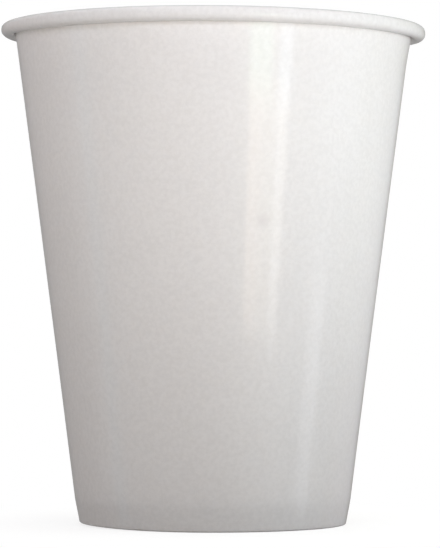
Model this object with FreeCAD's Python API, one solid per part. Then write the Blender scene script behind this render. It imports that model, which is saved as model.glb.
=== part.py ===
"""Single-wall paper cup for hot drinks, 12 fluid ounce size, made of two pieces of coated paperboard.

The sidewall is one sheet, wrapped into a cone and sealed along a lapped seam at the back. Its top edge
is curled outwards into the rim, and its bottom edge is folded in and up as a hem. At the seam the sheet
climbs onto its own other edge, so that the wall and the roll are two layers thick there. The base is a
disc with a skirt drawn down all round, and the skirt is sealed between the sidewall and the hem, so that
the disc sits above the standing edge.

Lengths are millimetres. Z points up along the cup's axis, and the origin is on the axis in the plane
that the cup stands on. The front of the cup faces -Y. Each section is drawn in the XZ plane, with X as
the distance from the axis, along the middle of the board's thickness.
"""
import FreeCAD, Part
import math
import os

# The outline
cup_height = 106.0
rim_diameter = 90.0           # across the outside of the roll, which takes a 90 mm lid
foot_diameter = 56.6          # across the outside of the standing edge
foot_band_height = 5.2        # the pressed band at the foot, up to the knee in the wall
foot_band_lean = 10.6         # degrees from upright, steeper than the wall above it
knee_radius = 14.0            # bend from the foot band into the wall

# The board
wall_board = 0.35             # thickness of the coated sheet that makes the sidewall
base_board = 0.30             # thickness of the coated sheet that makes the base
seal_gap = 0.02               # the film that bonds two layers

# The rolled rim
curl_diameter = 3.3           # across the outside of the roll
tuck_start = 250.0            # degrees of roll at which the edge starts to turn in under the roll
curl_turn = 395.0             # degrees of roll in all, at the sheet's edge
tuck_gap = 0.06               # between the tucked edge and the inside of the roll

# The folded foot
fold_inside_radius = 0.06
hem_below_knee = 0.35         # the hem's edge stops this far under the top of the foot band

# The base
recess_depth = 6.8            # from the standing plane up to the underside of the disc
base_corner_radius = 0.75     # inside radius of the bend from the skirt to the disc
skirt_end_gap = 0.12          # between the skirt's edge and the bottom of the fold

# The side seam, in degrees about the cup's axis
seam_direction = 90.0         # the back of the cup
lap_angle = 10.0              # how far the outer edge lies over the inner one
ease_angle = 6.0              # over which the sheet climbs onto the lap, and the roll settles after it
ease_steps = 6
lap_fade = 1.6                # mm of foot band over which the outer layer is pressed out above the fold

UP = FreeCAD.Vector(0, 0, 1)
ORIGIN = FreeCAD.Vector(0, 0, 0)
FULL_TURN = 360.0
ONE_LAYER = 1.0
TWO_LAYERS = 2.0
PARTS_FOLDER = "parts"


def direction(heading):
    """Unit vector at a heading in degrees from straight up, positive when it leans away from the axis."""
    angle = math.radians(heading)
    return FreeCAD.Vector(math.sin(angle), 0, math.cos(angle))


def outward(heading):
    """Unit vector across a board that runs at this heading, on the side that faces out of the cup."""
    return direction(heading + 90.0)


def setback(radius, turn):
    """Distance from a corner to where a bend of this radius starts, for a turn in degrees."""
    return radius * math.tan(math.radians(abs(turn)) / 2)


def crossing(point, heading, height):
    """Where a line through point at this heading reaches a height."""
    return point + direction(heading) * ((height - point.z) / direction(heading).z)


class Board:
    """The middle line of a sheet in section: straight runs and tangent bends, followed from one edge."""

    def __init__(self, start, heading):
        self.point = start
        self.heading = heading
        self.runs = []

    def straight(self, length, lift=0.0):
        """Adds a straight run, which ends lift further out while the board keeps its heading."""
        end = self.point + direction(self.heading) * length + outward(self.heading) * lift
        self.runs.append([(self.point, self.heading), (end, self.heading)])
        self.point = end

    def bend(self, radius, turn):
        """Adds an arc that turns by this many degrees, positive away from the cup's axis."""
        signed_radius = math.copysign(radius, turn)
        centre = self.point + outward(self.heading) * signed_radius
        stations = []
        for share in (0.0, 0.5, 1.0):
            heading = self.heading + share * turn
            stations.append((centre - outward(heading) * signed_radius, heading))
        self.runs.append(stations)
        self.point, self.heading = stations[-1]

    def face_line(self, offset):
        """Edges that follow the middle line at this distance from it, positive on the outward side."""
        edges = []
        for stations in self.runs:
            points = [point + outward(heading) * offset for point, heading in stations]
            curve = Part.Arc(*points) if len(points) == 3 else Part.LineSegment(*points)
            edges.append(curve.toShape())
        return edges

    def section(self, thickness):
        """Closed wire round the board's section."""
        outer = self.face_line(thickness / 2)
        inner = self.face_line(-thickness / 2)
        caps = [
            Part.LineSegment(inner[end].Vertexes[end].Point, outer[end].Vertexes[end].Point).toShape()
            for end in (0, -1)
        ]
        return Part.Wire(Part.__sortEdges__(outer + inner + caps))


def turned(shape, angle):
    """A copy of shape turned about the cup's axis."""
    copy = shape.copy()
    copy.rotate(ORIGIN, UP, angle)
    return copy


def swept(section, start=0.0, sweep=FULL_TURN):
    """The solid that a section makes when it turns about the cup's axis."""
    return turned(Part.Face(section), start).revolve(ORIGIN, UP, sweep)


# The middle line of the foot band, from the corner at the standing edge up to the knee
band_outer_foot = FreeCAD.Vector(foot_diameter / 2, 0, 0)
band_middle = band_outer_foot - outward(foot_band_lean) * (wall_board / 2)
band_foot = crossing(band_middle, foot_band_lean, wall_board / 2)
knee = crossing(band_foot, foot_band_lean, foot_band_height)

# The middle line of the wall runs from the knee and touches the roll of the rim on its inner side
roll_radius = (curl_diameter - wall_board) / 2
roll_centre = FreeCAD.Vector((rim_diameter - curl_diameter) / 2, 0, cup_height - curl_diameter / 2)
knee_to_roll = roll_centre - knee
wall_lean = math.degrees(
    math.atan2(knee_to_roll.x, knee_to_roll.z) - math.asin(roll_radius / knee_to_roll.Length)
)
wall_length = math.sqrt(knee_to_roll.Length ** 2 - roll_radius ** 2)
knee_turn = wall_lean - foot_band_lean
knee_setback = setback(knee_radius, knee_turn)

# The fold: a corner under the hem and a corner under the foot band, with a flat standing edge between
fold_radius = fold_inside_radius + wall_board / 2
layers_apart = wall_board + base_board + 2 * seal_gap
hem_foot = band_foot - FreeCAD.Vector(layers_apart / math.cos(math.radians(foot_band_lean)), 0, 0)
hem_edge = crossing(hem_foot, foot_band_lean, foot_band_height - hem_below_knee)
hem_fold_turn = 90.0 + foot_band_lean
band_fold_turn = 90.0 - foot_band_lean
band_start = band_foot + direction(foot_band_lean) * setback(fold_radius, band_fold_turn)
band_length = (knee - band_start).Length - knee_setback


def side_section(board, lift, roll_layers):
    """Carries a board on from the fold, over foot band, wall and roll, and returns its section.

    The board lies a distance lift outside the sidewall's own middle line, and its tucked edge leaves
    room inside the roll for roll_layers thicknesses of board.
    """
    after_tuck = math.radians(FULL_TURN - tuck_start)
    tighter_by = (roll_layers * wall_board + tuck_gap) / (1 - math.cos(after_tuck))
    board.straight(lap_fade, lift)
    board.straight(band_length - lap_fade)
    board.bend(knee_radius + lift, knee_turn)
    board.straight(wall_length - knee_setback)
    board.bend(roll_radius - lift, tuck_start)
    board.bend(roll_radius - lift - tighter_by, curl_turn - tuck_start)
    return board.section(wall_board)


def sheet_section(lift=0.0, roll_layers=ONE_LAYER):
    """Section of the whole sheet, from the hem's edge round the fold and up the side to the tucked edge."""
    board = Board(hem_edge, foot_band_lean + 180.0)
    board.straight((hem_edge - hem_foot).Length - setback(fold_radius, hem_fold_turn))
    board.bend(fold_radius, -hem_fold_turn)
    flat = (band_foot - hem_foot).Length
    board.straight(flat - setback(fold_radius, hem_fold_turn) - setback(fold_radius, band_fold_turn))
    board.bend(fold_radius, -band_fold_turn)
    return side_section(board, lift, roll_layers)


def eased(first_direction, lifts, roll_layers):
    """The sheet over one ease angle, in which its lift and the room in its roll change smoothly."""
    sections = []
    for step in range(ease_steps + 1):
        share = step / ease_steps
        smooth = share * share * (3 - 2 * share)
        lift = lifts[0] + (lifts[1] - lifts[0]) * smooth
        layers = roll_layers[0] + (roll_layers[1] - roll_layers[0]) * smooth
        sections.append(turned(sheet_section(lift, layers), first_direction + ease_angle * share))
    return Part.makeLoft(sections, True, True)


def sidewall():
    """The wrapped sheet: hem, wall with its lapped seam, and rolled rim, as one solid."""
    lap_end = seam_direction + lap_angle
    plain_sweep = FULL_TURN - lap_angle - 2 * ease_angle
    plain = swept(sheet_section(), lap_end + ease_angle, plain_sweep)
    climb = eased(seam_direction - ease_angle, (0.0, wall_board), (ONE_LAYER, TWO_LAYERS))
    over_section = side_section(Board(band_start, foot_band_lean), wall_board, TWO_LAYERS)
    over = swept(over_section, seam_direction, lap_angle)
    under = swept(sheet_section(0.0, TWO_LAYERS), seam_direction, lap_angle)
    settle = eased(lap_end, (0.0, 0.0), (TWO_LAYERS, ONE_LAYER))
    return plain.fuse([climb, over, under, settle]).removeSplitter()


def base_disc():
    """The base: a skirt that follows the inside of the foot band and the wall, bent in to a flat disc."""
    inset = wall_board / 2 + seal_gap + base_board / 2
    skirt_line = band_foot - outward(foot_band_lean) * inset
    skirt_foot = crossing(skirt_line, foot_band_lean, wall_board + skirt_end_gap)
    across_knee = outward(foot_band_lean) + outward(wall_lean)
    skirt_knee = knee - across_knee * (inset / (across_knee * outward(wall_lean)))
    skirt_knee_radius = knee_radius - inset
    skirt_knee_setback = setback(skirt_knee_radius, knee_turn)
    disc_corner = crossing(skirt_knee, wall_lean, recess_depth + base_board / 2)
    corner_radius = base_corner_radius + base_board / 2
    corner_turn = -(90.0 + wall_lean)
    corner_setback = setback(corner_radius, corner_turn)
    board = Board(skirt_foot, foot_band_lean)
    board.straight((skirt_knee - skirt_foot).Length - skirt_knee_setback)
    board.bend(skirt_knee_radius, knee_turn)
    board.straight((disc_corner - skirt_knee).Length - skirt_knee_setback - corner_setback)
    board.bend(corner_radius, corner_turn)
    board.straight(disc_corner.x - corner_setback)
    return swept(board.section(base_board))


def main():
    """Builds both pieces and writes one STEP file for each."""
    os.makedirs(PARTS_FOLDER, exist_ok=True)
    for name, build in (("sidewall", sidewall), ("base_disc", base_disc)):
        shape = build()
        shape.exportStep(os.path.join(PARTS_FOLDER, name + ".step"))
        print(name, len(shape.Solids), "solid", shape.isValid(), round(shape.Volume, 1), "mm3")
    print("wall leans", round(wall_lean, 2), "degrees")


main()
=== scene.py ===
"""Dresses the paper cup: its two sheets of coated board, their finishes, and a plain studio round them.

Every Blender length is in metres, and the cup stands on z = 0 with its axis on z, its front facing -Y and
its side seam at +Y, as in the frame. Sizes in the dataclasses are written in millimetres times MM.
"""

import logging
import math
from dataclasses import dataclass
from enum import Enum
from functools import partial
from typing import Callable, Optional

import bpy
from mathutils import Matrix, Vector, noise


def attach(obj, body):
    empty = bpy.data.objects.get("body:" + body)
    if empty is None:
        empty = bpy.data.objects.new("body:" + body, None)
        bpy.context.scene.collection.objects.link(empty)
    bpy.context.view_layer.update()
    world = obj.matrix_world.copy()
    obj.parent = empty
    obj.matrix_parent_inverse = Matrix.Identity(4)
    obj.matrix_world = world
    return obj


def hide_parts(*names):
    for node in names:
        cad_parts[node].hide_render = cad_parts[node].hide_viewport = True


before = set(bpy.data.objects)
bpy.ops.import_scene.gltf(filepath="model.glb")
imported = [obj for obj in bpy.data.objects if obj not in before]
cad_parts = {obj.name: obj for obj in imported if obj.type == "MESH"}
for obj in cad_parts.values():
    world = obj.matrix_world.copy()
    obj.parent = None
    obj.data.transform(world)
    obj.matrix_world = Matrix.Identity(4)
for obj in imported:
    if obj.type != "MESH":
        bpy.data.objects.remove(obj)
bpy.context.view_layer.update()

log = logging.getLogger("paper_cup")

Colour = tuple[float, float, float, float]
Tint = tuple[float, float, float]

MM = 0.001
FULL_TURN = 360.0
SMOOTH_UP_TO = 40.0           # degrees between faces, past which an edge stays sharp


def smooth_step(share: float) -> float:
    """Eases a share from 0 to 1, and holds it there outside that range."""
    held = min(max(share, 0.0), 1.0)
    return held * held * (3 - 2 * held)


def bump_at(value: float, middle: float, reach: float) -> float:
    """A smooth hump that is 1 where value meets middle and 0 from reach away."""
    return smooth_step(1 - abs(value - middle) / reach)


def deselect_everything() -> None:
    """Leaves object mode with nothing selected, so that an operator acts only on what comes next."""
    if bpy.context.object is not None and bpy.context.object.mode != "OBJECT":
        bpy.ops.object.mode_set(mode="OBJECT")
    bpy.ops.object.select_all(action="DESELECT")


class Zone(Enum):
    """Stretches of a sheet's section, in the order in which the sidewall's sheet passes them."""

    HEM = "hem"
    FOLD = "fold"
    BAND = "band"
    WALL = "wall"
    ROLL = "roll"
    TUCK = "tuck"
    DISC = "disc"
    SKIRT = "skirt"


@dataclass
class Station:
    """A point on a sheet's middle line.

    Attributes:
        point: the place in the XZ plane, with X as the distance from the cup's axis.
        heading: which way the line runs, in radians from straight up, positive away from the axis.
        zone: the stretch that the point belongs to.
    """

    point: Vector
    heading: float
    zone: Zone


class SheetLine:
    """The middle line of a sheet in section, followed from one cut edge to the other."""

    def __init__(self, start: Vector, heading: float, zone: Zone) -> None:
        """Starts the line at a cut edge.

        Args:
            start: the edge's place in the XZ plane.
            heading: the way it sets off, in degrees from straight up.
            zone: the stretch that it starts in.
        """
        self.stations = [Station(start.copy(), math.radians(heading), zone)]

    @staticmethod
    def along(heading: float) -> Vector:
        """Unit vector along a heading in radians."""
        return Vector((math.sin(heading), 0.0, math.cos(heading)))

    @staticmethod
    def across(heading: float) -> Vector:
        """Unit vector across a heading in radians, on the side that faces out of the cup."""
        return Vector((math.cos(heading), 0.0, -math.sin(heading)))

    def straight(self, length: float, pieces: int, zone: Zone, lift: float = 0.0) -> None:
        """Adds a straight run.

        Args:
            length: how long it is.
            pieces: how many equal pieces it is cut into.
            zone: the stretch that it belongs to.
            lift: how far out of line it ends, while the sheet keeps its heading.
        """
        last = self.stations[-1]
        step = (self.along(last.heading) * length + self.across(last.heading) * lift) / pieces
        for count in range(1, pieces + 1):
            self.stations.append(Station(last.point + step * count, last.heading, zone))

    def bend(self, radius: float, turn: float, pieces: int, zone: Zone) -> None:
        """Adds a tangent arc.

        Args:
            radius: the radius of the middle line.
            turn: how far it turns in degrees, positive away from the cup's axis.
            pieces: how many equal pieces it is cut into.
            zone: the stretch that it belongs to.
        """
        last = self.stations[-1]
        signed = math.copysign(radius, turn)
        centre = last.point + self.across(last.heading) * signed
        for count in range(1, pieces + 1):
            heading = last.heading + math.radians(turn) * count / pieces
            self.stations.append(Station(centre - self.across(heading) * signed, heading, zone))


def crossing(point: Vector, heading: float, height: float) -> Vector:
    """Where a line through a point, at a heading in degrees, reaches a height."""
    along = SheetLine.along(math.radians(heading))
    return point + along * ((height - point.z) / along.z)


def setback(radius: float, turn: float) -> float:
    """Distance from a corner to where a bend of this radius starts, for a turn in degrees."""
    return radius * math.tan(math.radians(abs(turn)) / 2)


@dataclass
class CupForm:
    """The sizes that the cup's two sheets share, and the corner points that follow from them."""

    height: float = 106.0 * MM
    rim_diameter: float = 90.0 * MM
    foot_diameter: float = 56.6 * MM
    band_height: float = 5.2 * MM
    band_lean: float = 10.6
    knee_radius: float = 14.0 * MM
    wall_board: float = 0.35 * MM
    base_board: float = 0.30 * MM
    seal_gap: float = 0.02 * MM
    curl_diameter: float = 3.3 * MM

    def __post_init__(self) -> None:
        """Works out the foot, the knee, the roll of the rim and the lean of the wall between them."""
        band_across = SheetLine.across(math.radians(self.band_lean))
        outer_foot = Vector((self.foot_diameter / 2, 0.0, 0.0))
        half_board = self.wall_board / 2
        self.band_foot = crossing(outer_foot - band_across * half_board, self.band_lean, half_board)
        self.knee = crossing(self.band_foot, self.band_lean, self.band_height)
        self.roll_radius = (self.curl_diameter - self.wall_board) / 2
        half_curl = self.curl_diameter / 2
        self.roll_centre = Vector((self.rim_diameter / 2 - half_curl, 0.0, self.height - half_curl))
        reach = self.roll_centre - self.knee
        lean = math.atan2(reach.x, reach.z) - math.asin(self.roll_radius / reach.length)
        self.wall_lean = math.degrees(lean)
        self.wall_length = math.sqrt(reach.length ** 2 - self.roll_radius ** 2)
        self.knee_turn = self.wall_lean - self.band_lean
        self.knee_setback = setback(self.knee_radius, self.knee_turn)


@dataclass
class HandFeel:
    """How far the real cup strays from a perfect cone: small, smooth and the same on every run.

    Angles are in degrees from the front, positive towards +X.
    """

    waist: float = 0.08 * MM
    ripple: float = 0.02 * MM
    ripple_size: float = 21.0 * MM
    ripple_at_rim: float = 0.25
    foot_hold: float = 12.0 * MM
    rim_hold_from: float = 0.90
    rim_hold_over: float = 0.08
    rim_tilt: float = 0.40
    rim_saddle: float = 0.17 * MM
    rim_sag_slope: float = 1.1
    rim_proud: float = 0.22 * MM
    rim_proud_angle: float = 90.0
    rim_proud_reach: float = 70.0
    rim_proud_from: float = 0.92
    rim_proud_over: float = 0.06
    bead_square_above: float = 2.5
    bead_square_below: float = 2.1
    bead_front: float = 0.94
    bead_back: float = 0.77
    bead_left_from: float = 52.0
    bead_right_from: float = 78.0
    bead_change: float = 38.0
    foot_rise: float = 0.42 * MM
    foot_rise_angle: float = -84.0
    foot_rise_reach: float = 80.0
    foot_rise_height: float = 7.0 * MM
    dent: float = 0.09 * MM
    dent_angle: float = 15.8
    dent_height: float = 63.3 * MM
    dent_reach: float = 2.2 * MM

    def bead_share(self, angle: float) -> float:
        """How much of its height the roll of the rim keeps, where it is pressed flatter."""
        start = self.bead_right_from if angle > 0 else self.bead_left_from
        change = smooth_step((abs(angle) - start) / self.bead_change)
        return self.bead_front + (self.bead_back - self.bead_front) * change

    def squared(self, place: Vector, form: CupForm) -> Vector:
        """Presses the round roll of the rim a little flatter on its four sides.

        Args:
            place: a point of the roll on the ideal cup.
            form: the cup's sizes.

        Returns:
            Where the point lies then.
        """
        radius = math.hypot(place.x, place.y)
        out, up = radius - form.roll_centre.x, place.z - form.roll_centre.z
        reach = math.hypot(out, up)
        power = self.bead_square_above if up > 0 else self.bead_square_below
        wider = (abs(out / reach) ** power + abs(up / reach) ** power) ** (-1 / power)
        share = (form.roll_centre.x + out * wider) / radius
        return Vector((place.x * share, place.y * share, form.roll_centre.z + up * wider))

    @staticmethod
    def angle_of(place: Vector) -> float:
        """The direction of a point from the axis, in degrees from the front, positive towards +X."""
        return math.degrees(math.atan2(place.x, -place.y))

    def lifted_foot(self, place: Vector) -> Vector:
        """Raises a point by what the standing edge lacks on one side.

        Args:
            place: the point on the ideal cup.

        Returns:
            The raised point.
        """
        angle = self.angle_of(place)
        rise = self.foot_rise * bump_at(angle, self.foot_rise_angle, self.foot_rise_reach)
        return place + Vector((0.0, 0.0, rise * (1 - smooth_step(place.z / self.foot_rise_height))))

    def moved(self, place: Vector, zone: Zone, form: CupForm) -> Vector:
        """Moves a point of the ideal cup to where the real sheet lies.

        Args:
            place: the point on the ideal cup.
            zone: the stretch of the sheet that it belongs to.
            form: the cup's sizes.

        Returns:
            Where the point lies on the real cup.
        """
        in_roll = zone in (Zone.ROLL, Zone.TUCK)
        if in_roll:
            place = self.squared(place, form)
        radius = math.hypot(place.x, place.y)
        outward = Vector((place.x / radius, place.y / radius, 0.0))
        angle = self.angle_of(place)
        share = place.z / form.height
        held_foot = smooth_step((place.z - form.band_height) / self.foot_hold)
        held_rim = 1 - smooth_step((share - self.rim_hold_from) / self.rim_hold_over)
        ripple = self.ripple * noise.noise(place / self.ripple_size)
        proud = self.rim_proud * bump_at(angle, self.rim_proud_angle, self.rim_proud_reach)
        drift = -self.waist * 4 * share * (1 - share)
        drift += ripple * held_foot * (self.ripple_at_rim + (1 - self.ripple_at_rim) * held_rim)
        drift += proud * smooth_step((share - self.rim_proud_from) / self.rim_proud_over)
        if zone is Zone.WALL and abs(place.z - self.dent_height) < self.dent_reach:
            aside = math.radians(angle - self.dent_angle) * radius
            reach = math.hypot(aside, place.z - self.dent_height)
            drift -= self.dent * bump_at(reach, 0.0, self.dent_reach)
        moved = self.lifted_foot(place) + outward * drift
        if in_roll:
            moved.z = form.height - (form.height - moved.z) * self.bead_share(angle)
        sag = place.x * math.tan(math.radians(self.rim_tilt))
        sag += self.rim_saddle * math.sin(math.radians(angle)) ** 2
        moved.z -= sag * smooth_step(1 - (1 - share) * self.rim_sag_slope)
        return moved


class SocketMaths:
    """Wraps a shader socket, so that shader maths is written as Python expressions."""

    def __init__(self, maker: "NodeMaker", socket: bpy.types.NodeSocket) -> None:
        """Keeps the socket and the maker that adds Math nodes for it."""
        self.maker = maker
        self.socket = socket

    def _with(self, operation: str, first: object, second: object = None) -> "SocketMaths":
        """Adds one Math node and returns its output."""
        values = {0: first} if second is None else {0: first, 1: second}
        return self.maker.add("ShaderNodeMath", {"operation": operation}, values)

    def __add__(self, other: object) -> "SocketMaths":
        """self + other."""
        return self._with("ADD", self, other)

    def __radd__(self, other: object) -> "SocketMaths":
        """other + self."""
        return self._with("ADD", other, self)

    def __sub__(self, other: object) -> "SocketMaths":
        """self - other."""
        return self._with("SUBTRACT", self, other)

    def __rsub__(self, other: object) -> "SocketMaths":
        """other - self."""
        return self._with("SUBTRACT", other, self)

    def __mul__(self, other: object) -> "SocketMaths":
        """self * other."""
        return self._with("MULTIPLY", self, other)

    def __rmul__(self, other: object) -> "SocketMaths":
        """other * self."""
        return self._with("MULTIPLY", other, self)

    def __truediv__(self, other: object) -> "SocketMaths":
        """self / other."""
        return self._with("DIVIDE", self, other)

    def __pow__(self, other: object) -> "SocketMaths":
        """self ** other."""
        return self._with("POWER", self, other)

    def or_more(self, other: object) -> "SocketMaths":
        """The larger of self and other."""
        return self._with("MAXIMUM", self, other)

    def ranged(self, low: float, high: float, to_low: float = 0.0, to_high: float = 1.0) -> "SocketMaths":
        """Maps low..high smoothly onto to_low..to_high, held at both ends."""
        settings = {"interpolation_type": "SMOOTHSTEP", "clamp": True}
        values = {"Value": self, "From Min": low, "From Max": high, "To Min": to_low, "To Max": to_high}
        return self.maker.add("ShaderNodeMapRange", settings, values)


class NodeMaker:
    """Builds the nodes of one material, or of the world."""

    def __init__(self, holder: bpy.types.ID, output: str = "ShaderNodeOutputMaterial") -> None:
        """Empties the node tree of a material or world, but for its output.

        Args:
            holder: the new material or world.
            output: the type of its output node.
        """
        self.holder = holder
        holder.use_nodes = True
        self.tree = holder.node_tree
        self.tree.nodes.clear()
        self.output = self.tree.nodes.new(output)

    def add(
        self,
        kind: str,
        settings: Optional[dict[str, object]] = None,
        values: Optional[dict[object, object]] = None,
        out: object = 0,
    ) -> SocketMaths:
        """Adds a node.

        Args:
            kind: the node's type.
            settings: its own properties, which are set first.
            values: socket name or number to a number, a colour, a vector or another node's output.
            out: the output that is wanted, by name or number.

        Returns:
            The wrapped output.
        """
        node = self.tree.nodes.new(kind)
        for key, value in (settings or {}).items():
            setattr(node, key, value)
        for key, value in (values or {}).items():
            if isinstance(value, SocketMaths):
                self.tree.links.new(value.socket, node.inputs[key])
            else:
                node.inputs[key].default_value = value
        return SocketMaths(self, node.outputs[out])

    def place(self) -> SocketMaths:
        """The place on the piece, in metres."""
        return self.add("ShaderNodeTexCoord", out="Object")

    def parts_of(self, vector: SocketMaths) -> tuple[SocketMaths, SocketMaths, SocketMaths]:
        """Splits a vector into its three numbers."""
        split = self.add("ShaderNodeSeparateXYZ", values={0: vector})
        outputs = split.socket.node.outputs
        return tuple(SocketMaths(self, outputs[axis]) for axis in range(3))

    def grain(self, vector: SocketMaths, size: float, detail: float = 2.0, rough: float = 0.5) -> SocketMaths:
        """Even noise about 0.5 whose features are size metres across."""
        values = {"Vector": vector, "Scale": 1.0 / size, "Detail": detail, "Roughness": rough}
        return self.add("ShaderNodeTexNoise", {"noise_dimensions": "3D"}, values, out="Fac")

    def blend(self, share: SocketMaths, first: object, second: object) -> SocketMaths:
        """A colour between first, where share is 0, and second, where it is 1."""
        factor, colour_a, colour_b, colour_out = 0, 6, 7, 2
        values = {factor: share, colour_a: first, colour_b: second}
        return self.add("ShaderNodeMix", {"data_type": "RGBA"}, values, out=colour_out)

    def finish(self, shader: SocketMaths) -> bpy.types.ID:
        """Links the shader to the output and returns the material or world."""
        self.tree.links.new(shader.socket, self.output.inputs["Surface"])
        return self.holder


@dataclass(frozen=True)
class Mark:
    """A faint darker spot in the board's colour: some are painted shade over a dent or wrinkle, one is a real
    speck of dirt.

    Attributes:
        middle: where it is on the cup, in metres.
        reach: how far from there it fades out.
        strength: how much of the spot's darker colour shows in its middle.
    """

    middle: tuple[float, float, float]
    reach: float
    strength: float


# Darker spots on the outside: three are painted shade where a dent and slight wrinkles dim the sheen, one is
# a real speck of dirt
OUTSIDE_SPECK_AND_SHADE_SPOTS = (
    # painted shade: a darker spot over the dent, where the dent dims the sheen
    Mark((0.0100, -0.0354, 0.0633), 2.0 * MM, 0.32),
    # painted shade: two faint darker spots near the top of the front, where slight wrinkles dim the sheen
    Mark((0.0022, -0.0405, 0.0940), 5.0 * MM, 0.05),
    Mark((0.0045, -0.0400, 0.0895), 4.0 * MM, 0.05),
    # a real pinkish speck of dirt near the foot
    Mark((0.0190, -0.0215, 0.0028), 0.8 * MM, 0.12),
)


@dataclass(frozen=True)
class BoardFinish:
    """Coated paperboard: a smooth satin skin over fibres that show through as faint mottling."""

    name: str
    colour: Colour = (0.86, 0.845, 0.835, 1.0)
    shade: Colour = (0.80, 0.785, 0.775, 1.0)
    roughness: float = 0.5
    roughness_spread: float = 0.08
    coat: float = 0.8
    coat_roughness: float = 0.09
    glow: float = 0.3
    glow_depth: float = 0.6 * MM
    glow_radius: Tint = (1.0, 0.95, 0.9)
    index: float = 1.5
    mottle_size: float = 0.9 * MM
    mottle_share: float = 0.55
    cloud_size: float = 14.0 * MM
    cloud_share: float = 0.1
    fibre_size: float = 0.16 * MM
    fibre_share: float = 0.35
    fibre_depth: float = 0.0022 * MM
    peel_size: float = 1.6 * MM
    peel_depth: float = 0.003 * MM
    tone_from: float = 0.35
    tone_to: float = 0.65
    # darker colour of the spots: painted shade over the dent and wrinkles, and the colour of the real speck
    speck_and_shade: Colour = (0.62, 0.58, 0.60, 1.0)
    marks: tuple[Mark, ...] = ()

    def material(self) -> bpy.types.Material:
        """Builds the material."""
        make = NodeMaker(bpy.data.materials.new(self.name))
        place = make.place()
        mottle = make.grain(place, self.mottle_size, detail=3.0)
        cloud = make.grain(place, self.cloud_size, detail=2.0)
        fibre = make.grain(place, self.fibre_size, detail=3.0, rough=0.6)
        peel = make.grain(place, self.peel_size, detail=1.0)
        tone = mottle * self.mottle_share + cloud * self.cloud_share + fibre * self.fibre_share
        colour = make.blend(tone.ranged(self.tone_from, self.tone_to), self.shade, self.colour)
        # darkens the colour round each spot: painted shade over the dent and wrinkles, and the real speck
        # near the foot
        for mark in self.marks:
            settings = {"operation": "DISTANCE"}
            away = make.add("ShaderNodeVectorMath", settings, {0: place, 1: mark.middle}, out="Value")
            colour = make.blend(away.ranged(0.0, mark.reach, mark.strength, 0.0), colour, self.speck_and_shade)
        rough = self.roughness + (cloud - 0.5) * self.roughness_spread + (fibre - 0.5) * self.roughness_spread
        height = fibre * self.fibre_depth + peel * self.peel_depth
        bump = make.add("ShaderNodeBump", values={"Height": height, "Distance": 1.0, "Strength": 1.0})
        shader = make.add(
            "ShaderNodeBsdfPrincipled",
            values={
                "Base Color": colour,
                "Roughness": rough,
                "Normal": bump,
                "IOR": self.index,
                "Coat Weight": self.coat,
                "Coat Roughness": self.coat_roughness,
                "Coat IOR": self.index,
                "Subsurface Weight": self.glow,
                "Subsurface Radius": self.glow_radius,
                "Subsurface Scale": self.glow_depth,
            },
        )
        return make.finish(shader)


@dataclass(frozen=True)
class CutEdgeFinish:
    """The bare cut edge of the board, where the uncoated fibres show."""

    name: str
    colour: Colour = (0.74, 0.70, 0.64, 1.0)
    shade: Colour = (0.62, 0.58, 0.52, 1.0)
    roughness: float = 0.9
    fibre_size: float = 0.12 * MM
    fibre_depth: float = 0.02 * MM
    tone_from: float = 0.35
    tone_to: float = 0.65

    def material(self) -> bpy.types.Material:
        """Builds the material."""
        make = NodeMaker(bpy.data.materials.new(self.name))
        fibre = make.grain(make.place(), self.fibre_size, detail=3.0, rough=0.7)
        colour = make.blend(fibre.ranged(self.tone_from, self.tone_to), self.shade, self.colour)
        bump = make.add("ShaderNodeBump", values={"Height": fibre * self.fibre_depth, "Distance": 1.0})
        shader = make.add(
            "ShaderNodeBsdfPrincipled",
            values={"Base Color": colour, "Roughness": self.roughness, "Normal": bump},
        )
        return make.finish(shader)


def spun_sheet(name: str, line: SheetLine, turn: float, steps: int) -> bpy.types.Object:
    """Draws a section as a chain of edges and spins it about the cup's axis.

    Args:
        name: the piece's name.
        line: the section's middle line.
        turn: how far it spins, in degrees.
        steps: how many equal steps it spins in.

    Returns:
        The piece, still one layer of faces.
    """
    deselect_everything()
    points = [station.point for station in line.stations]
    bpy.ops.mesh.primitive_plane_add(size=1 * MM, location=points[0])
    piece = bpy.context.object
    piece.name = name
    bpy.ops.object.transform_apply(location=True, rotation=True, scale=True)
    bpy.ops.object.mode_set(mode="EDIT")
    bpy.ops.mesh.select_all(action="SELECT")
    bpy.ops.mesh.merge(type="CENTER")
    for before, after in zip(points, points[1:]):
        bpy.ops.mesh.extrude_region_move(TRANSFORM_OT_translate={"value": after - before})
    bpy.ops.mesh.select_all(action="SELECT")
    bpy.ops.mesh.spin(steps=steps, angle=math.radians(turn), center=(0, 0, 0), axis=(0, 0, 1))
    bpy.ops.object.mode_set(mode="OBJECT")
    return piece


def apply_modifier(piece: bpy.types.Object, kind: str, **settings: object) -> None:
    """Adds a modifier, sets it and applies it."""
    bpy.context.view_layer.objects.active = piece
    modifier = piece.modifiers.new(kind.title(), kind)
    for key, value in settings.items():
        setattr(modifier, key, value)
    bpy.ops.object.modifier_apply(modifier=modifier.name)


def turn_faces_out(piece: bpy.types.Object, is_right: Callable[[bpy.types.Mesh], bool]) -> None:
    """Flips every face of a one-layer sheet if it faces the wrong way.

    Args:
        piece: the sheet.
        is_right: whether its faces point the right way.
    """
    if is_right(piece.data):
        return
    bpy.context.view_layer.objects.active = piece
    bpy.ops.object.mode_set(mode="EDIT")
    bpy.ops.mesh.select_all(action="SELECT")
    bpy.ops.mesh.flip_normals()
    bpy.ops.object.mode_set(mode="OBJECT")


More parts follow.
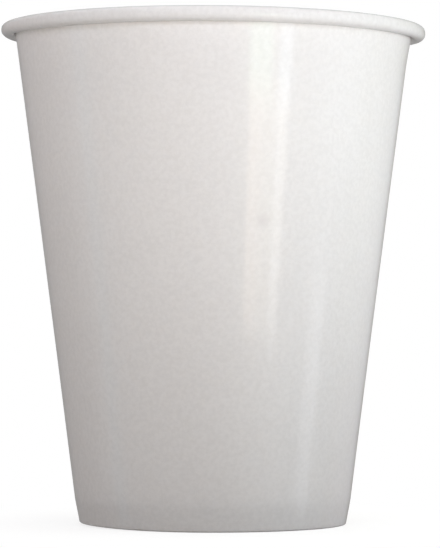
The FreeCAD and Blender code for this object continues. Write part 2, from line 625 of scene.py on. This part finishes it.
@dataclass(frozen=True)
class SidewallCuts:
    """How many rows of faces each stretch of the sidewall's sheet is cut into, in the order they come."""

    hem: int = 6
    hem_fold: int = 9
    standing_edge: int = 1
    band_fold: int = 7
    lap_fade: int = 3
    band: int = 4
    knee: int = 4
    wall: tuple[tuple[float, int], ...] = ((0.52, 18), (0.125, 16), (0.355, 16))
    roll: int = 38
    tuck: int = 12


@dataclass
class Sidewall:
    """The wrapped sheet: hem, fold, foot band, wall, rolled rim and lapped side seam."""

    form: CupForm
    feel: HandFeel
    fold_inside_radius: float = 0.06 * MM
    hem_below_knee: float = 0.35 * MM
    tuck_start: float = 250.0
    curl_turn: float = 395.0
    tuck_gap: float = 0.16 * MM
    lap_angle: float = 10.0
    ease_angle: float = 6.0
    lap_fade: float = 1.6 * MM
    lap_clearance: float = 0.01 * MM
    step_angle: float = 1.25
    seam_angle: float = 90.0
    cuts: SidewallCuts = SidewallCuts()

    def line(self, lift: float = 0.0, roll_layers: float = 1.0) -> SheetLine:
        """The sheet's middle line from the hem's edge to the tucked edge.

        Args:
            lift: how far the side lies outside its own place, where it climbs onto the lap.
            roll_layers: how many thicknesses of board the tucked edge leaves room for.

        Returns:
            The middle line.
        """
        form, cuts = self.form, self.cuts
        lean = form.band_lean
        fold_radius = self.fold_inside_radius + form.wall_board / 2
        layers_apart = form.wall_board + form.base_board + 2 * form.seal_gap
        hem_foot = form.band_foot - Vector((layers_apart / math.cos(math.radians(lean)), 0, 0))
        hem_edge = crossing(hem_foot, lean, form.band_height - self.hem_below_knee)
        hem_turn = 90.0 + lean
        band_turn = 90.0 - lean
        line = SheetLine(hem_edge, lean + 180.0, Zone.HEM)
        line.straight((hem_edge - hem_foot).length - setback(fold_radius, hem_turn), cuts.hem, Zone.HEM)
        line.bend(fold_radius, -hem_turn, cuts.hem_fold, Zone.FOLD)
        flat = (form.band_foot - hem_foot).length
        flat -= setback(fold_radius, hem_turn) + setback(fold_radius, band_turn)
        line.straight(flat, cuts.standing_edge, Zone.FOLD)
        line.bend(fold_radius, -band_turn, cuts.band_fold, Zone.FOLD)
        band = (form.knee - form.band_foot).length - setback(fold_radius, band_turn) - form.knee_setback
        line.straight(self.lap_fade, cuts.lap_fade, Zone.BAND, lift)
        line.straight(band - self.lap_fade, cuts.band, Zone.BAND)
        line.bend(form.knee_radius + lift, form.knee_turn, cuts.knee, Zone.BAND)
        wall = form.wall_length - form.knee_setback
        for share, rows in cuts.wall:
            line.straight(wall * share, rows, Zone.WALL)
        line.bend(form.roll_radius - lift, self.tuck_start, cuts.roll, Zone.ROLL)
        after_tuck = math.radians(FULL_TURN - self.tuck_start)
        tighter_by = (roll_layers * form.wall_board + self.tuck_gap) / (1 - math.cos(after_tuck))
        tuck_radius = form.roll_radius - lift - tighter_by
        line.bend(tuck_radius, self.curl_turn - self.tuck_start, cuts.tuck, Zone.TUCK)
        return line

    def line_at(self, angle: float) -> SheetLine:
        """The middle line at an angle in degrees round the sheet, from its inner side edge."""
        climb = smooth_step((angle - FULL_TURN) / self.ease_angle + 1)
        lift = (self.form.wall_board + self.lap_clearance) * climb
        settled = smooth_step((angle - self.lap_angle) / self.ease_angle)
        return self.line(lift, max(1 + climb, 2 - settled))

    def build(self) -> bpy.types.Object:
        """Models the sheet and gives it its thickness."""
        turn = FULL_TURN + self.lap_angle
        steps = round(turn / self.step_angle)
        flat_line = self.line()
        piece = spun_sheet("sidewall_sheet", flat_line, turn, steps)
        self.shape(piece, steps, len(flat_line.stations))
        turn_faces_out(piece, self.faces_outward)
        apply_modifier(
            piece,
            "SOLIDIFY",
            thickness=self.form.wall_board,
            offset=0.0,
            use_even_offset=True,
            use_rim=True,
            material_offset=1,
            material_offset_rim=2,
        )
        bpy.ops.object.shade_smooth_by_angle(angle=math.radians(SMOOTH_UP_TO))
        return piece

    def shape(self, piece: bpy.types.Object, steps: int, rows: int) -> None:
        """Moves every point of the spun sheet to its place, with the climb onto the lap.

        Args:
            piece: the spun sheet, whose points come step by step and row by row.
            steps: how many steps it was spun in.
            rows: how many points its section has.
        """
        vertices = piece.data.vertices
        assert len(vertices) == (steps + 1) * rows, "the spin gave an unexpected number of points"
        flat = [station.point for station in self.line().stations]
        order = [
            min(range(rows), key=lambda row: (flat[row] - vertices[index].co).length)
            for index in range(rows)
        ]
        assert sorted(order) == list(range(rows)), "two points of the section were taken for one"
        for step in range(steps + 1):
            angle = step * self.step_angle
            turn = Matrix.Rotation(math.radians(self.seam_angle + angle), 3, "Z")
            stations = self.line_at(angle).stations
            for index, row in enumerate(order):
                station = stations[row]
                place = self.feel.moved(turn @ station.point, station.zone, self.form)
                vertices[step * rows + index].co = place
        piece.data.update()

    @staticmethod
    def faces_outward(mesh: bpy.types.Mesh) -> bool:
        """Whether the faces of the wall point away from the axis, in a belt half way up."""
        lowest, highest = 40 * MM, 60 * MM
        middle = [face for face in mesh.polygons if lowest < face.center.z < highest]
        return sum(face.normal.dot(face.center * Vector((1, 1, 0))) for face in middle) > 0

    def dress(
        self,
        piece: bpy.types.Object,
        outside: BoardFinish,
        inside: BoardFinish,
        edge: CutEdgeFinish,
    ) -> None:
        """Gives the sheet its finishes and ties it to the frame.

        Args:
            piece: the sheet.
            outside: the finish of the face that is outside on the wall.
            inside: the finish of the face that is inside, and comes out over the roll.
            edge: the finish of the cut edges.
        """
        for finish in (outside, inside, edge):
            piece.data.materials.append(finish.material())
        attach(piece, "root")
        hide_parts("sidewall")


@dataclass
class BaseDisc:
    """The base: a disc with a skirt drawn down all round, seen inside the cup and under its foot."""

    form: CupForm
    feel: HandFeel
    recess_depth: float = 6.8 * MM
    corner_inside_radius: float = 0.75 * MM
    skirt_end_gap: float = 0.12 * MM
    bow: float = 0.25 * MM
    merge_distance: float = 0.002 * MM
    steps: int = 180
    skirt_rows: int = 4
    knee_rows: int = 3
    upper_rows: int = 1
    corner_rows: int = 9
    disc_rows: int = 16

    def line(self) -> SheetLine:
        """The base's middle line from the skirt's edge to the middle of the disc."""
        form = self.form
        inset = form.wall_board / 2 + form.seal_gap + form.base_board / 2
        band_across = SheetLine.across(math.radians(form.band_lean))
        wall_across = SheetLine.across(math.radians(form.wall_lean))
        skirt_height = form.wall_board + self.skirt_end_gap
        skirt_foot = crossing(form.band_foot - band_across * inset, form.band_lean, skirt_height)
        both = band_across + wall_across
        skirt_knee = form.knee - both * (inset / both.dot(wall_across))
        disc_corner = crossing(skirt_knee, form.wall_lean, self.recess_depth + form.base_board / 2)
        corner_radius = self.corner_inside_radius + form.base_board / 2
        corner_turn = -(90.0 + form.wall_lean)
        corner_setback = setback(corner_radius, corner_turn)
        knee_radius = form.knee_radius - inset
        knee_setback = setback(knee_radius, form.knee_turn)
        line = SheetLine(skirt_foot, form.band_lean, Zone.SKIRT)
        line.straight((skirt_knee - skirt_foot).length - knee_setback, self.skirt_rows, Zone.SKIRT)
        line.bend(knee_radius, form.knee_turn, self.knee_rows, Zone.SKIRT)
        upper = (disc_corner - skirt_knee).length - knee_setback - corner_setback
        line.straight(upper, self.upper_rows, Zone.SKIRT)
        line.bend(corner_radius, corner_turn, self.corner_rows, Zone.DISC)
        line.straight(disc_corner.x - corner_setback, self.disc_rows, Zone.DISC)
        return line

    def build(self) -> bpy.types.Object:
        """Models the base and gives it its thickness."""
        piece = spun_sheet("base_disc_sheet", self.line(), FULL_TURN, self.steps)
        bpy.ops.object.mode_set(mode="EDIT")
        bpy.ops.mesh.select_all(action="SELECT")
        bpy.ops.mesh.remove_doubles(threshold=self.merge_distance)
        bpy.ops.object.mode_set(mode="OBJECT")
        self.shape(piece)
        turn_faces_out(piece, self.faces_up)
        apply_modifier(
            piece,
            "SOLIDIFY",
            thickness=self.form.base_board,
            offset=0.0,
            use_even_offset=True,
            use_rim=True,
            material_offset=0,
            material_offset_rim=1,
        )
        bpy.ops.object.shade_smooth_by_angle(angle=math.radians(SMOOTH_UP_TO))
        return piece

    def shape(self, piece: bpy.types.Object) -> None:
        """Bows the disc a little, as pressed board does, and lifts the skirt with the foot."""
        edge = self.form.knee.x - 2 * self.corner_inside_radius
        for vertex in piece.data.vertices:
            radius = math.hypot(vertex.co.x, vertex.co.y)
            vertex.co = self.feel.lifted_foot(vertex.co)
            vertex.co.z -= self.bow * smooth_step(1 - radius / edge)
        piece.data.update()

    @staticmethod
    def faces_up(mesh: bpy.types.Mesh) -> bool:
        """Whether the faces in the middle of the disc point up."""
        reach = 20 * MM
        middle = [face for face in mesh.polygons if face.center.xy.length < reach]
        return sum(face.normal.z for face in middle) > 0

    def dress(self, piece: bpy.types.Object, finish: BoardFinish, edge: CutEdgeFinish) -> None:
        """Gives the base its finishes and ties it to the frame."""
        for part in (finish, edge):
            piece.data.materials.append(part.material())
        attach(piece, "root")
        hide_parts("base_disc")


class Reach(Enum):
    """What a lamp's light is for."""

    SHEEN = "sheen"
    FILL = "fill"


@dataclass(frozen=True)
class Softbox:
    """A soft rectangular lamp that faces the cup's axis.

    Attributes:
        name: the lamp's name.
        azimuth: where it stands, in degrees from the front, positive towards +X.
        level: the height of the point on the axis that it faces.
        distance: how far its middle is from that point.
        width: its size across.
        height: its size up and down.
        radiance: how bright its face is, where 1 is white.
        tint: its colour.
        elevation: how far it stands above its level, in degrees.
        reach: what its light is for.
    """

    name: str
    azimuth: float
    level: float
    distance: float
    width: float
    height: float
    radiance: float
    tint: Tint = (1.0, 1.0, 1.0)
    elevation: float = 0.0
    reach: Reach = Reach.FILL

    def build(self) -> bpy.types.Object:
        """Sets up the lamp."""
        data = bpy.data.lights.new(self.name, "AREA")
        data.shape = "RECTANGLE"
        data.size = self.width
        data.size_y = self.height
        data.energy = self.radiance * math.pi * self.width * self.height
        data.color = self.tint
        lamp = bpy.data.objects.new(self.name, data)
        bpy.context.scene.collection.objects.link(lamp)
        azimuth, elevation = math.radians(self.azimuth), math.radians(self.elevation)
        away = Vector((
            math.sin(azimuth) * math.cos(elevation),
            -math.cos(azimuth) * math.cos(elevation),
            math.sin(elevation),
        ))
        lamp.location = Vector((0.0, 0.0, self.level)) + away * self.distance
        lamp.rotation_euler = away.to_track_quat("Z", "Y").to_euler()
        lamp.visible_camera = False
        lamp.visible_diffuse = self.reach is Reach.FILL
        lamp.visible_glossy = self.reach is Reach.SHEEN
        return lamp


@dataclass
class Studio:
    """The camera, the floor, the world and the lamps."""

    camera_distance: float = 655.0 * MM
    camera_height: float = 43.4 * MM
    camera_pitch: float = 0.85
    camera_pan: float = 0.134
    focal_pixels: float = 3075.0
    image_height: float = 548.0
    sensor: float = 36.0
    clip_near: float = 0.01
    clip_far: float = 50.0
    ambient: float = 0.05
    mirrored: float = 0.25
    floor_albedo: float = 0.20
    floor_glow: float = 0.80
    floor_bounce: float = 0.12
    floor_size: float = 8.0
    floor_fade_from: float = 30.0 * MM
    floor_fade_to: float = 75.0 * MM

    @staticmethod
    def grey(level: float) -> Colour:
        """A neutral colour."""
        return (level, level, level, 1.0)

    def camera(self) -> bpy.types.Object:
        """Sets up the camera at the photograph's viewing angle."""
        data = bpy.data.cameras.new("photo_camera")
        data.sensor_width = self.sensor
        data.lens = self.focal_pixels / self.image_height * self.sensor
        data.clip_start = self.clip_near
        data.clip_end = self.clip_far
        camera = bpy.data.objects.new("photo_camera", data)
        bpy.context.scene.collection.objects.link(camera)
        camera.location = (0.0, -self.camera_distance, self.camera_height)
        camera.rotation_euler = (
            math.radians(90.0 + self.camera_pitch),
            0.0,
            -math.radians(self.camera_pan),
        )
        bpy.context.scene.camera = camera
        return camera

    def floor(self) -> bpy.types.Object:
        """Lays a pale floor that fades to white away from the cup, and is clear from below."""
        deselect_everything()
        bpy.ops.mesh.primitive_plane_add(size=self.floor_size, location=(0, 0, 0))
        floor = bpy.context.object
        floor.name = "studio_floor"
        make = NodeMaker(bpy.data.materials.new("studio_floor"))
        across, deep, _ = make.parts_of(make.place())
        away = (across * across + deep * deep) ** 0.5
        fade = away.ranged(self.floor_fade_from, self.floor_fade_to)
        diffuse = make.add("ShaderNodeBsdfDiffuse", values={"Color": self.grey(self.floor_albedo)})
        bounce = make.add("ShaderNodeBsdfDiffuse", values={"Color": self.grey(self.floor_bounce)})
        glow = make.add("ShaderNodeEmission", values={"Color": self.grey(1.0), "Strength": self.floor_glow})
        white = make.add("ShaderNodeEmission", values={"Color": self.grey(1.0), "Strength": 1.0})
        lit = make.add("ShaderNodeAddShader", values={0: diffuse, 1: glow})
        seen = make.add("ShaderNodeMixShader", values={0: fade, 1: lit, 2: white})
        is_camera = make.add("ShaderNodeLightPath", out="Is Camera Ray")
        above = make.add("ShaderNodeMixShader", values={0: is_camera, 1: bounce, 2: seen})
        from_below = make.add("ShaderNodeNewGeometry", out="Backfacing")
        clear = make.add("ShaderNodeBsdfTransparent")
        shader = make.add("ShaderNodeMixShader", values={0: from_below, 1: above, 2: clear})
        floor.data.materials.append(make.finish(shader))
        floor.visible_glossy = False
        floor.visible_shadow = False
        return floor

    def world(self) -> None:
        """White behind the cup, dimmer in its sheen, and an even faint surround for everything else."""
        world = bpy.data.worlds.new("studio_surround")
        bpy.context.scene.world = world
        make = NodeMaker(world, "ShaderNodeOutputWorld")
        glossy, passed, seen = (
            make.add("ShaderNodeLightPath", out=out)
            for out in ("Is Glossy Ray", "Is Transmission Ray", "Is Camera Ray")
        )
        level = (glossy.or_more(passed) * self.mirrored).or_more(seen).or_more(self.ambient)
        values = {"Color": self.grey(1.0), "Strength": level}
        make.finish(make.add("ShaderNodeBackground", values=values))

    @staticmethod
    def softboxes() -> tuple[Softbox, ...]:
        """The lamps: soft fills that model the form, and narrow panels that only give the sheen."""
        near = partial(Softbox, level=0.12, distance=0.20, width=0.12, height=0.12)
        by_rim = partial(Softbox, level=0.085, distance=0.17, width=0.10, height=0.06)
        low = partial(Softbox, level=0.070, distance=0.45, width=0.25, height=0.25, elevation=-40.0)
        behind = partial(Softbox, level=0.10, distance=0.30, width=0.20, height=0.20, elevation=10.0)

        panels_at = 0.25

        def sheen(
            name: str,
            azimuth: float,
            level: float,
            size: tuple[float, float],
            radiance: float,
            tint: Tint,
        ) -> Softbox:
            """A panel that shows only in the coating, as far away as the other panels."""
            return Softbox(name, azimuth, level, panels_at, *size, radiance, tint, reach=Reach.SHEEN)

        return (
            Softbox("top", 0.0, 0.053, 0.55, 0.45, 0.45, 3.2, elevation=90.0),
            near("front", 0.0, radiance=3.85, tint=(0.82, 0.875, 1.0)),
            near("left", -90.0, radiance=1.7, tint=(1.0, 0.86, 0.93)),
            near("far_right", 120.0, radiance=2.2, tint=(1.0, 0.9, 0.64)),
            by_rim("rim_left", -75.0, radiance=0.55, tint=(0.7, 1.0, 0.86)),
            by_rim("rim_front_left", -25.0, radiance=1.52, tint=(1.0, 0.8, 0.53)),
            by_rim("rim_front_right", 25.0, radiance=3.55, tint=(1.0, 0.9, 0.76)),
            by_rim("rim_right", 75.0, radiance=7.0, tint=(0.88, 0.96, 1.0)),
            low("lift_left", -75.0, radiance=1.18, tint=(1.0, 0.9, 0.85)),
            low("lift_right", 125.0, radiance=1.35, tint=(1.0, 0.64, 0.7)),
            behind("back", 180.0, radiance=2.4),
            behind("back_left", -130.0, radiance=1.8),
            sheen("sheen_high", 26.0, 0.080, (0.056, 0.060), 2.25, (0.56, 1.0, 0.68)),
            sheen("sheen_warm", 24.0, 0.020, (0.036, 0.070), 2.1, (1.0, 0.79, 0.61)),
            sheen("sheen_cream", 32.0, 0.020, (0.036, 0.070), 1.42, (1.0, 0.88, 0.68)),
            sheen("sheen_pale", 39.6, 0.020, (0.029, 0.070), 2.6, (1.0, 0.96, 0.9)),
            sheen("sheen_line", 39.8, 0.080, (0.032, 0.060), 2.3, (0.68, 0.84, 1.0)),
            sheen("sheen_streak", 74.0, -0.030, (0.060, 0.090), 1.1, (0.9, 0.93, 1.0)),
            sheen("sheen_left", -79.0, 0.005, (0.044, 0.170), 0.5, (0.3, 0.75, 1.0)),
            sheen("sheen_edge", 130.0, 0.020, (0.182, 0.160), 0.26, (0.75, 0.8, 1.0)),
        )

    def lamps(self) -> list[bpy.types.Object]:
        """Sets up the lamps."""
        return [box.build() for box in self.softboxes()]

    def build(self) -> None:
        """Sets up the whole studio."""
        self.camera()
        self.floor()
        self.world()
        self.lamps()
        bpy.context.scene.view_settings.view_transform = "Standard"


def main() -> None:
    """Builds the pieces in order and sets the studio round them."""
    logging.basicConfig(level=logging.INFO, format="%(name)s: %(message)s")
    form = CupForm()
    feel = HandFeel()
    outside = BoardFinish("coated_board_outside", marks=OUTSIDE_SPECK_AND_SHADE_SPOTS)
    inside = BoardFinish("coated_board_inside", coat_roughness=0.12)
    edge = CutEdgeFinish("board_cut_edge")
    sidewall = Sidewall(form, feel)
    sheet = sidewall.build()
    sidewall.dress(sheet, outside, inside, edge)
    log.info("sidewall sheet: %d faces", len(sheet.data.polygons))
    base = BaseDisc(form, feel)
    disc = base.build()
    base.dress(disc, BoardFinish("base_board"), edge)
    log.info("base disc: %d faces", len(disc.data.polygons))
    Studio().build()
    log.info("studio ready")


if __name__ == "__main__":
    main()
